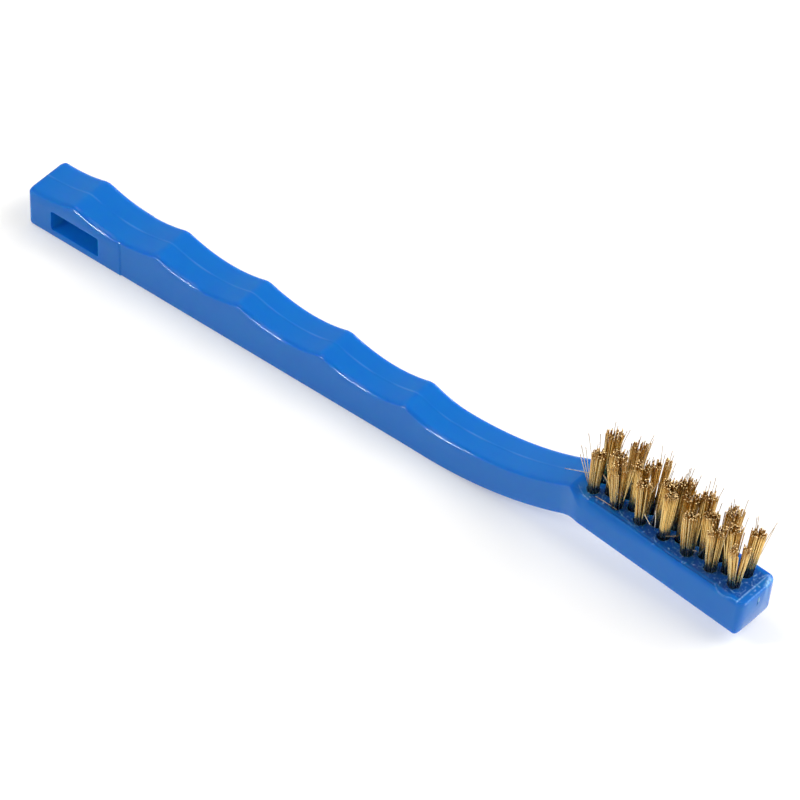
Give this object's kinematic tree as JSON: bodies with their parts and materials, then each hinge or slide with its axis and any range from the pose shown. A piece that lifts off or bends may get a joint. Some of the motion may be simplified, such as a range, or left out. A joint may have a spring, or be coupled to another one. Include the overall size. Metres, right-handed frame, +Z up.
{
  "type": "brass wire brush",
  "caption": "Slim hand brush with a scalloped plastic grip, a hanging slot through the tail, a curved neck and a tilted head set with staggered rows of brass wire tufts.",
  "frame": {"origin": "on the surface that the handle lies on, below the middle of the overall length", "axes": "+X from the hanging end to the tip of the head, +Y across the handle, +Z up, the way the wires point"},
  "size_m": [0.1848, 0.0108, 0.0286],
  "materials": {
    "handle_plastic": "moulded, glossy",
    "brass_wire": "drawn wire, cut ends",
    "anchor_metal": "rolled flat strip"
  },
  "bodies": {
    "root": {"handle": "handle_plastic", "right_tuft_row": "brass_wire", "middle_tuft_row": "brass_wire", "left_tuft_row": "brass_wire", "right_anchor_1": "anchor_metal", "right_anchor_2": "anchor_metal", "right_anchor_3": "anchor_metal", "right_anchor_4": "anchor_metal", "right_anchor_5": "anchor_metal", "right_anchor_6": "anchor_metal", "right_anchor_7": "anchor_metal", "middle_anchor_1": "anchor_metal", "middle_anchor_2": "anchor_metal", "middle_anchor_3": "anchor_metal", "middle_anchor_4": "anchor_metal", "middle_anchor_5": "anchor_metal", "middle_anchor_6": "anchor_metal", "left_anchor_1": "anchor_metal", "left_anchor_2": "anchor_metal", "left_anchor_3": "anchor_metal", "left_anchor_4": "anchor_metal", "left_anchor_5": "anchor_metal", "left_anchor_6": "anchor_metal", "left_anchor_7": "anchor_metal"}
  },
  "joints": []
}
